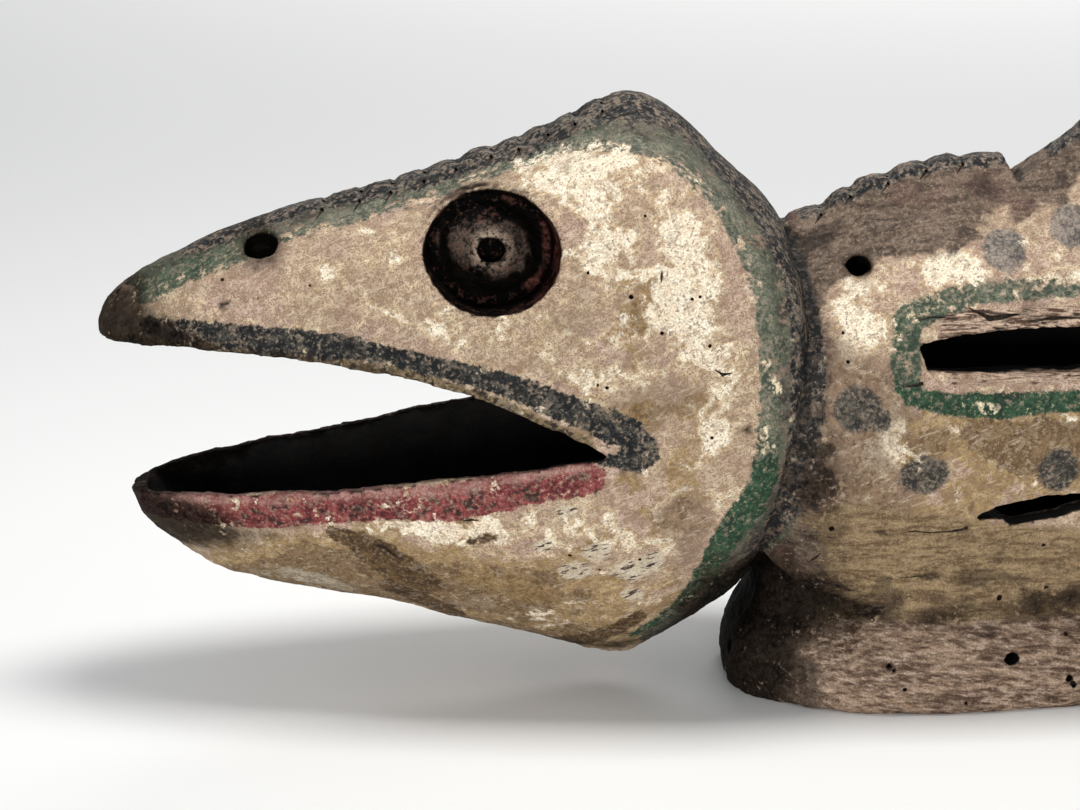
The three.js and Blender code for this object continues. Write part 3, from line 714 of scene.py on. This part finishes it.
record_on_skin("ochre", broad_areas(
    0.05,
    (0.165, 0.062, 0.080, 0.028, 0.24), (0.105, 0.070, 0.050, 0.016, 0.65),
    (0.135, 0.050, 0.040, 0.010, 0.60), (0.205, 0.028, 0.060, 0.012, 0.48),
    (0.205, 0.058, 0.060, 0.018, 0.34), (0.080, 0.056, 0.050, 0.010, 0.50),
    (0.236, 0.150, 0.036, 0.018, 0.30), (0.200, 0.182, 0.030, 0.012, 0.22),
    (0.262, 0.110, 0.030, 0.020, 0.30), (0.240, 0.192, 0.010, 0.016, 0.30),
    (0.385, 0.135, 0.050, 0.014, 0.50), (0.425, 0.128, 0.030, 0.020, 0.60),
    (0.366, 0.100, 0.050, 0.016, 0.45), (0.520, 0.125, 0.060, 0.025, 0.55),
    (0.640, 0.120, 0.040, 0.030, 0.30),
))
# Grime; behind the gill rim it also stands for the painted shadow that the rim casts on the body
record_on_skin("grime_and_shade", broad_areas(
    0.0,
    (0.232, 0.146, 0.026, 0.012, 0.40), (0.212, 0.188, 0.016, 0.014, 0.35),
    (0.252, 0.160, 0.022, 0.010, 0.30), (0.292, 0.230, 0.012, 0.016, 0.20),
    (0.262, 0.092, 0.012, 0.030, 0.40), (0.258, 0.100, 0.018, 0.008, 0.35),
    (0.100, 0.190, 0.040, 0.008, 0.22), (0.330, 0.140, 0.018, 0.040, 0.70),
    (0.358, 0.158, 0.010, 0.020, 0.45), (0.340, 0.100, 0.020, 0.020, 0.60),
    (0.345, 0.105, 0.022, 0.014, 0.35), (0.380, 0.106, 0.014, 0.006, 0.30),
    (0.085, 0.090, 0.030, 0.005, 0.35), (0.112, 0.071, 0.016, 0.009, 0.34),
))
brown_line = np.interp(along, *zip(*BROWN_BACK))
bare_back = blend_in(height - brown_line, -0.016, 0.013) * on_body
# A brown band on the body just behind the gill rim: painted shadow of the rim, with dirt
beside_gill = 0.75 * blend_in(along, 0.336, 0.316) * on_body
record_on_skin("brown_back", np.clip(bare_back + beside_gill, 0, 1))
low_line = np.interp(
    along, (0.300, 0.335, 0.360, 0.400, 0.460, 0.640), (0.100, 0.104, 0.100, 0.092, 0.086, 0.080)
)
record_on_skin("brown_flank", blend_in(height - low_line, 0.012, -0.012) * on_body)
record_on_skin("bare_rim", blend_in(height, 0.050, 0.034) * on_body)
slot_middle = 0.5 * (SLOT_LOW + SLOT_HIGH)
above_slot = blend_in(height, SLOT_HIGH + 0.012, SLOT_HIGH + 0.006) * (height > slot_middle)
below_slot = blend_in(height, SLOT_LOW - 0.007, SLOT_LOW - 0.003) * (height <= slot_middle)
slot_span = blend_in(along, SLOT_FRONT + 0.002, SLOT_FRONT + 0.016)
slot_span *= blend_in(along, SLOT_REAR + 0.008, SLOT_REAR - 0.008)
record_on_skin("torn_lips", slot_span * (above_slot + 0.55 * below_slot))
lip_line = np.interp(along, *zip(*((x, z) for x, z, _ in RED_LIP)))
far_lip = (points[:, 1] > 0) * blend_in(height - lip_line, 0.001, 0.005)
far_lip *= blend_in(normals[:, 2], 0.1, 0.5)
far_lip *= blend_in(along, 0.235, 0.215) * (height < 0.165)
# Soot on the nose and jaw tips; at the toe, the waist and behind the gill rim it is painted shade as well
record_on_skin("soot_and_shade", np.clip(broad_areas(
    0.0,
    (0.000, 0.178, 0.030, 0.028, 1.50), (0.032, 0.178, 0.018, 0.006, 0.60),
    (0.008, 0.086, 0.040, 0.028, 1.50), (0.046, 0.080, 0.030, 0.008, 0.65),
    (0.045, 0.092, 0.024, 0.005, 0.45), (0.150, 0.106, 0.006, 0.003, 0.45),
    (0.134, 0.0995, 0.004, 0.003, 0.50), (0.165, 0.1045, 0.006, 0.003, 0.35),
    (0.288, 0.026, 0.026, 0.044, 2.40), (0.322, 0.050, 0.026, 0.015, 1.20),
    (0.385, 0.044, 0.050, 0.008, 0.50), (0.440, 0.047, 0.060, 0.008, 0.50),
    (0.318, 0.160, 0.014, 0.050, 0.52), (0.322, 0.105, 0.022, 0.034, 0.72),
    (0.347, 0.0465, 0.008, 0.003, 0.60), (0.247, 0.128, 0.012, 0.010, 0.30),
    (0.133, 0.0755, 0.009, 0.005, 0.60), (0.127, 0.081, 0.006, 0.004, 0.45),
    (0.222, 0.020, 0.030, 0.006, 0.70), (0.240, 0.026, 0.012, 0.008, 0.40),
    (0.085, 0.084, 0.026, 0.004, 0.40), (0.415, 0.240, 0.030, 0.012, 0.30),
    (0.445, 0.258, 0.026, 0.018, 0.35), (0.400, 0.062, 0.014, 0.004, 0.35),
    (0.435, 0.052, 0.016, 0.004, 0.45), (0.060, 0.214, 0.040, 0.006, 0.25),
    (0.345, 0.072, 0.020, 0.008, 0.20), (0.372, 0.072, 0.010, 0.005, 0.25),
    (0.632, 0.030, 0.024, 0.050, 0.80), (0.655, 0.120, 0.016, 0.040, 0.30),
    (0.797, 0.137, 0.016, 0.130, 0.50), (0.040, 0.1725, 0.030, 0.005, 0.85),
    (0.085, 0.1700, 0.030, 0.004, 0.75), (0.125, 0.1660, 0.020, 0.003, 0.55),
    (0.0758, 0.2135, 0.012, 0.011, 0.95), (0.3405, 0.2050, 0.010, 0.010, 0.70),
) + far_lip, 0, 1.4))
fresh_green = blend_in(height, 0.140, 0.110)
fresh_green += 0.6 * blend_in(along, 0.283, 0.295) * blend_in(height, 0.205, 0.185)
fresh_green += (along > 0.340) * blend_in(height, 0.165, 0.150) + 0.6 * blend_in(along, 0.110, 0.040)
fresh_green *= 1 - 0.6 * (along > 0.283) * (along < 0.330) * blend_in(height, 0.125, 0.150)
record_on_skin("fresh_green", np.clip(fresh_green, 0, 1))

# The eye: how far each place of the socket lies from the axis that the knife turned round
flank_of = np.where(points[:, 1] > 0, 1.0, -1.0)
eye_axis = np.stack([0 * flank_of, flank_of * cos(EYE_TILT), 0 * flank_of + sin(EYE_TILT)], axis=1)
from_eye = points - np.stack([
    0 * flank_of + NOSE + EYE_MIDDLE[0], flank_of * EYE_OUT, 0 * flank_of + EYE_MIDDLE[1]
], axis=1)
off_axis = from_eye - eye_axis * (from_eye * eye_axis).sum(axis=1)[:, None]
off_axis[:, 0] /= EYE_WIDEN
eye_distance = np.linalg.norm(off_axis, axis=1)
facing_out = (normals * eye_axis).sum(axis=1)
in_bowl = blend_in(eye_distance, EYE_RADIUS - 0.0001, EYE_RADIUS - 0.0011)
on_rim = blend_in(eye_distance, EYE_RADIUS + 0.0027, EYE_RADIUS + 0.0012)
on_rim *= blend_in(facing_out, 0.75, 0.45)
record_on_skin("eye_socket", np.maximum(in_bowl, on_rim))
record_on_skin("eye_distance", np.minimum(eye_distance, 0.06))


bpy.ops.object.shade_smooth_by_angle(angle=radians(48))
painted_wood.use_nodes = True
tree = painted_wood.node_tree
shader = tree.nodes["Principled BSDF"]
place = tree.nodes.new("ShaderNodeTexCoord").outputs["Object"]


def feed(socket, value):
    if isinstance(value, bpy.types.NodeSocket):
        tree.links.new(value, socket)
    elif value is not None:
        socket.default_value = value


def drawn(name):
    node = tree.nodes.new("ShaderNodeAttribute")
    node.attribute_name = name
    return node.outputs["Fac"]


def noise(size, detail=3.0, roughness=0.55, stretch=1.0, turn=0.0, shift=0.0, distortion=0.0):
    moved = tree.nodes.new("ShaderNodeMapping")
    moved.vector_type = "TEXTURE"
    feed(moved.inputs["Vector"], place)
    moved.inputs["Scale"].default_value = (stretch, 1, 1)
    moved.inputs["Rotation"].default_value = (0, -turn, 0)
    moved.inputs["Location"].default_value = (shift, 0.7 * shift, 0.4 * shift)
    node = tree.nodes.new("ShaderNodeTexNoise")
    feed(node.inputs["Vector"], moved.outputs["Vector"])
    node.inputs["Scale"].default_value = 1 / size
    node.inputs["Detail"].default_value = detail
    node.inputs["Roughness"].default_value = roughness
    node.inputs["Distortion"].default_value = distortion
    return node.outputs["Fac"]


def step(value, low, high):
    node = tree.nodes.new("ShaderNodeMapRange")
    node.interpolation_type = "SMOOTHSTEP"
    feed(node.inputs["Value"], value)
    node.inputs["From Min"].default_value = low
    node.inputs["From Max"].default_value = high
    return node.outputs["Result"]


def maths(kind, first, second=None, third=None):
    node = tree.nodes.new("ShaderNodeMath")
    node.operation = kind
    for socket, value in zip(node.inputs, (first, second, third)):
        feed(socket, value)
    return node.outputs["Value"]


def times(first, second):
    return maths("MULTIPLY", first, second)


def plus(first, share, second):
    return maths("MULTIPLY_ADD", second, share, first)


def coat(share, under, over, blend="MIX"):
    node = tree.nodes.new("ShaderNodeMix")
    node.data_type = "RGBA"
    node.blend_type = blend
    feed(node.inputs["Factor"], share)
    feed(node.inputs["A"], under)
    feed(node.inputs["B"], over)
    return node.outputs["Result"]


def tint(red, green, blue):
    return tuple(((c / 255 + 0.055) / 1.055) ** 2.4 for c in (red, green, blue)) + (1,)


grain = noise(0.0009, 1, 0.60)
speck = noise(0.0018, 2, 0.66, shift=2)
mottle = noise(0.0042, 4, 0.64, shift=5)
cloud = noise(0.0120, 4, 0.60, shift=3)
drift = noise(0.0340, 3, 0.60, shift=11)
flakes = noise(0.0130, 5, 0.64, shift=7, distortion=0.5)
smudges = noise(0.0190, 4, 0.64, shift=13)
scuffs = noise(0.0015, 2, 0.62, stretch=6, turn=radians(24), shift=9)
fibres = noise(0.0013, 2, 0.62, stretch=8, shift=17)
streaks = noise(0.0044, 4, 0.60, stretch=5, shift=4, distortion=1.2)
shade = plus(plus(times(mottle, 0.40), 0.38, speck), 0.22, cloud)
blotches = maths("MULTIPLY_ADD", maths("ADD", smudges, flakes), 1.3, -1.3)
ragged = maths("MULTIPLY_ADD", noise(0.0040, 4, 0.72, shift=19), 0.0070, -0.0035)
worn = plus(plus(times(mottle, 0.8), 0.9, flakes), 0.4, speck)


def mixed(dark, pale, low=0.40, high=0.60, by=None):
    return coat(step(shade if by is None else by, low, high), tint(*dark), tint(*pale))


# Cream distemper: a thin pinkish wash, warmer and thicker in places, lighter on the jaw's underside as
# painted light, and stained ochre and brown
wash = mixed((172, 145, 127), (229, 203, 185))
wash = coat(step(drift, 0.42, 0.58), wash, mixed((174, 149, 125), (233, 211, 182)))
warm = mixed((210, 182, 142), (246, 226, 190))
pale = mixed((234, 212, 182), (255, 246, 226), 0.36, 0.58)
thick_and_lit = plus(drawn("thick_cream_and_painted_light"), 1.5, maths("SUBTRACT", flakes, 0.5))
thick_and_lit = plus(thick_and_lit, 0.7, maths("SUBTRACT", shade, 0.5))
warm_here = step(thick_and_lit, 0.34, 0.44)
pale_here = step(thick_and_lit, 0.43, 0.56)
cream = coat(times(warm_here, 0.8), wash, warm)
stain = plus(drawn("ochre"), 1.3, maths("SUBTRACT", smudges, 0.5))
cream = coat(step(stain, 0.24, 0.36), cream, mixed((150, 122, 82), (206, 180, 132)))
cream = coat(pale_here, cream, pale)
cream = coat(times(step(stain, 0.52, 0.58), 0.85), cream, mixed((88, 68, 42), (138, 114, 76)))
# Darker brown where grime lies, and behind the gill rim as painted shadow
grime_and_shade_amount = maths("MULTIPLY_ADD", drawn("grime_and_shade"), 1.2, -0.75)
grime_and_shade_amount = plus(plus(grime_and_shade_amount, 0.9, shade), 0.6, smudges)
cream = coat(times(step(grime_and_shade_amount, 0.20, 0.50), 0.80), cream, mixed((84, 68, 54), (158, 134, 110)))
cream = coat(times(step(speck, 0.56, 0.64), 0.60), cream, tint(134, 110, 92))
freckles = times(step(grain, 0.50, 0.58), step(pale_here, 1.2, 0.0))
cream = coat(times(freckles, 0.72), cream, tint(108, 84, 70))
crust = noise(0.0048, 4, 0.78, shift=41)
cream = coat(times(step(crust, 0.54, 0.58), 0.45), cream, tint(150, 126, 102))
cream = coat(times(step(crust, 0.44, 0.40), 0.22), cream, tint(240, 226, 200))
cream = coat(times(step(scuffs, 0.60, 0.70), 0.35), cream, tint(122, 100, 82))
cream = coat(times(step(scuffs, 0.41, 0.32), 0.28), cream, tint(246, 232, 206))
pits = times(step(crust, 0.68, 0.72), step(cloud, 0.50, 0.60))
cream = coat(pits, cream, tint(66, 52, 42))

# Bare and grimy wood: brown on the back and, as painted shadow with dirt, just behind the gill, ochre brown
# on the lower flank, streaky on the rim
rim_grain = noise(0.0021, 3, 0.66, stretch=3.4, turn=radians(-9), shift=31)
rim_wood = coat(step(streaks, 0.38, 0.62), tint(96, 75, 61), tint(158, 134, 114))
rim_wood = coat(times(step(rim_grain, 0.48, 0.68), 0.75), rim_wood, tint(200, 178, 160))
rim_wood = coat(times(step(rim_grain, 0.50, 0.34), 0.65), rim_wood, tint(60, 44, 36))
flank_wood = plus(times(streaks, 0.5), 0.5, shade)
flank_wood = coat(step(flank_wood, 0.42, 0.58), tint(106, 86, 62), tint(160, 138, 106))
flank_wood = coat(times(step(rim_grain, 0.54, 0.68), 0.40), flank_wood, tint(172, 150, 120))
flank_wood = coat(times(step(fibres, 0.43, 0.33), 0.25), flank_wood, tint(64, 48, 34))
back_wood = plus(times(shade, 0.6), 0.4, streaks)
back_wood = coat(step(back_wood, 0.40, 0.60), tint(68, 56, 47), tint(130, 113, 99))
back_wood = coat(times(step(drift, 0.54, 0.64), 0.22), back_wood, tint(120, 80, 74))
torn_wood = coat(step(fibres, 0.40, 0.60), tint(84, 62, 50), tint(196, 172, 152))
torn_wood = coat(times(step(streaks, 0.44, 0.36), 0.8), torn_wood, tint(52, 38, 31))

loose = maths("MULTIPLY_ADD", worn, 0.5, -0.525)
flank_here = step(plus(drawn("brown_flank"), 1.0, loose), 0.38, 0.62)
colour = coat(flank_here, cream, flank_wood)
colour = coat(step(plus(drawn("bare_rim"), 1.0, loose), 0.40, 0.60), colour, rim_wood)
back_here = plus(plus(drawn("brown_back"), 0.5, loose), 0.9, blotches)
colour = coat(step(back_here, 0.34, 0.60), colour, back_wood)
colour = coat(step(plus(drawn("torn_lips"), 1.2, loose), 0.46, 0.56), colour, torn_wood)

# The strip outside the green line is dull and smoky, never cream
dusk = coat(step(cloud, 0.42, 0.56), tint(54, 54, 49), tint(98, 95, 84))
dusk = coat(times(step(flakes, 0.55, 0.62), 0.8), dusk, tint(142, 120, 104))
dusk = coat(times(step(smudges, 0.46, 0.56), 0.6), dusk, tint(70, 88, 72))
dusk = coat(times(step(shade, 0.50, 0.40), 0.8), dusk, tint(40, 39, 36))
strip = step(maths("ADD", drawn("dusky_strip"), times(ragged, 0.5)), 0.0, 0.0015)
colour = coat(times(strip, 0.94), colour, dusk)


dust = plus(times(speck, 0.35), 0.65, noise(0.0070, 4, 0.66, shift=37))


# Brushed bands and dabs over the cream, each worn through in specks and towards its edges
def brushed(under, name, dark, pale, missing, soft=0.0006):
    inwards = maths("ADD", drawn(name), ragged)
    edge = step(inwards, soft, -soft)
    thin = times(step(inwards, -0.0014, 0.0), 0.03)
    held = step(maths("SUBTRACT", maths("MULTIPLY_ADD", worn, 0.476, thin), missing), 0.03, -0.03)
    paint = coat(step(shade, 0.40, 0.60), dark, pale)
    paint = coat(times(step(dust, 0.52, 0.60), 0.50), paint, tint(142, 129, 114))
    return coat(times(edge, held), under, paint)


colour = brushed(colour, "ochre_patches", tint(118, 94, 62), tint(164, 138, 100), 0.600, soft=0.0015)
colour = brushed(colour, "brown_patches", tint(66, 50, 32), tint(112, 88, 58), 0.660)
colour = brushed(colour, "grey_smear", tint(140, 128, 108), tint(210, 200, 180), 0.545, soft=0.0015)
scratched = drawn("scratched")
colour = coat(times(step(plus(scratched, 1.0, flakes), 0.80, 1.00), 0.8), colour, tint(206, 194, 174))
scratches = times(step(scuffs, 0.54, 0.60), step(scratched, 0.25, 0.55))
colour = coat(scratches, colour, tint(70, 60, 54))
fresh = drawn("fresh_green")
green_dark = coat(fresh, tint(74, 82, 70), tint(30, 54, 39))
green_pale = coat(fresh, tint(140, 139, 122), tint(58, 90, 66))
faint_spots = drawn("faint_spots")
spot_dark = coat(faint_spots, tint(44, 43, 40), tint(84, 80, 80))
spot_pale = coat(faint_spots, tint(108, 101, 91), tint(158, 147, 137))
colour = brushed(colour, "spots", spot_dark, spot_pale, 0.590, soft=0.0012)
colour = brushed(colour, "green_band", green_dark, green_pale, plus(0.525, 0.065, fresh))
colour = brushed(colour, "under_lip", tint(60, 50, 38), tint(138, 120, 90), 0.610, soft=0.0012)
colour = brushed(colour, "under_lip", tint(40, 34, 27), tint(70, 60, 46), 0.470, soft=0.0004)
colour = brushed(colour, "red_lip", tint(92, 32, 38), tint(156, 84, 82), 0.580)
colour = brushed(colour, "red_lip", tint(56, 34, 33), tint(112, 88, 74), 0.462)
colour = brushed(colour, "red_lip_top", tint(150, 104, 98), tint(196, 158, 148), 0.525, soft=0.0020)
colour = brushed(colour, "black_lip", tint(22, 24, 27), tint(84, 81, 74), 0.590)
colour = brushed(colour, "black_lip", tint(14, 17, 21), tint(46, 47, 47), 0.500)
edge_pale = coat(step(mottle, 0.52, 0.62), tint(92, 90, 87), tint(142, 124, 109))
colour = brushed(colour, "dark_edge", tint(34, 34, 35), edge_pale, 0.580)
colour = brushed(colour, "dark_edge", tint(20, 21, 23), tint(48, 47, 45), 0.490)
chipped = step(plus(drawn("chips"), 0.5, ragged), 0.0006, -0.0006)
colour = coat(times(chipped, step(worn, 0.96, 1.06)), colour, tint(236, 222, 192))

# Edges that hands have rubbed are paler, and hollows between them are darker: dirt with painted shade
rubbed = plus(maths("SUBTRACT", speck, 0.5), 0.05, drawn("standing_out"))
rubbed = times(step(rubbed, 0.080, 0.150), 0.5)
colour = coat(rubbed, colour, tint(150, 132, 116))
hollow_dirt_and_shade = times(step(drawn("standing_out"), -0.012, -0.050), 0.55)
colour = coat(hollow_dirt_and_shade, colour, tint(58, 46, 38), "MULTIPLY")

# Soot on the tips and the waist, soot with painted shade at the toe, the waist and behind the gill, and
# grime with painted shade in every sheltered place
soot_and_shade = drawn("soot_and_shade")
soot_and_shade_here = plus(maths("SUBTRACT", shade, 0.5), 0.8, soot_and_shade)
soot_and_shade_here = step(plus(soot_and_shade_here, 0.6, blotches), 0.20, 0.85)
soot_and_shade_here = times(soot_and_shade_here, step(plus(times(soot_and_shade, -0.08), 1.0, dust), 0.58, 0.48))
soot_and_shade_colour = coat(step(soot_and_shade, 0.9, 1.4), mixed((12, 9, 7), (62, 51, 42)), mixed((7, 6, 5), (34, 28, 23)))
colour = coat(times(soot_and_shade_here, 0.94), colour, soot_and_shade_colour)
# Sheltered places are multiplied darker: grime together with painted shade in recesses and creases
grime_and_painted_shade = step(plus(drawn("openness"), 0.5, maths("SUBTRACT", shade, 0.5)), 0.84, 0.30)
colour = coat(times(grime_and_painted_shade, 0.85), colour, tint(92, 74, 60), "MULTIPLY")

# The eye: near-black painted shadow over the socket with painted light on the lit band of the ball, reddish
# on its wall, with a worn pale edge round the drilled pupil, whose hole is painted black as shade
distance = maths("ADD", drawn("eye_distance"), times(ragged, 0.5))
# Painted shadow, near black, over the whole socket
eye = coat(step(shade, 0.50, 0.70), tint(0, 0, 0), tint(16, 12, 10))
lit = step(plus(drawn("eye_lit"), 1.6, ragged), 0.0030, -0.0030)
eye = coat(lit, eye, coat(step(shade, 0.40, 0.62), tint(34, 27, 25), tint(108, 95, 87)))
red = step(plus(drawn("eye_red"), 2.0, ragged), 0.0020, -0.0020)
eye = coat(times(red, 0.9), eye, coat(step(shade, 0.42, 0.62), tint(30, 11, 12), tint(104, 62, 56)))
pupil_edge = times(step(distance, 0.0110, 0.0060), step(plus(shade, 0.6, flakes), 0.72, 0.86))
eye = coat(times(pupil_edge, 0.9), eye, tint(178, 160, 142))
# The pupil's hole painted black where it lies deep: painted shade
pupil = step(drawn("eye_distance"), 0.0062, 0.0054)
eye = coat(times(pupil, step(drawn("openness"), 0.80, 0.66)), eye, tint(2, 1, 1))
colour = coat(drawn("eye_socket"), colour, eye)
socket_edge = times(step(distance, 0.0310, 0.0288), step(shade, 0.50, 0.60))
colour = coat(times(socket_edge, 0.55), colour, tint(96, 66, 56))

# Inside the mouth and the hollow the wood is near black: painted shade over sooted wood
inside = coat(step(streaks, 0.4, 0.6), tint(5, 4, 3), tint(18, 14, 11))
colour = coat(drawn("inner_soot_and_shade"), colour, inside)
grainy = coat(step(grain, 0.36, 0.64), tint(206, 203, 199), tint(247, 246, 244))
colour = coat(1.0, colour, grainy, "MULTIPLY")
feed(shader.inputs["Base Color"], colour)

feed(shader.inputs["Roughness"], maths("MULTIPLY_ADD", shade, 0.30, 0.62))
dull = maths("MAXIMUM", drawn("eye_socket"), soot_and_shade_here)
feed(shader.inputs["Specular IOR Level"], maths("MULTIPLY_ADD", dull, -0.18, 0.22))
relief = plus(times(speck, 0.6), 0.8, mottle)
bump = tree.nodes.new("ShaderNodeBump")
bump.inputs["Strength"].default_value = 0.7
bump.inputs["Distance"].default_value = 0.0010
feed(bump.inputs["Height"], relief)
feed(shader.inputs["Normal"], bump.outputs["Normal"])

# The cuts and holes show darkened wood
cut_wood.use_nodes = True
tree = cut_wood.node_tree
place = tree.nodes.new("ShaderNodeTexCoord").outputs["Object"]
cut_shader = tree.nodes["Principled BSDF"]
cut_colour = coat(step(noise(0.0020, 4, 0.62), 0.36, 0.66), tint(22, 17, 14), tint(66, 54, 45))
feed(cut_shader.inputs["Base Color"], cut_colour)
cut_shader.inputs["Roughness"].default_value = 0.85
cut_shader.inputs["Specular IOR Level"].default_value = 0.22

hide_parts("fish")
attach(fish, "root")
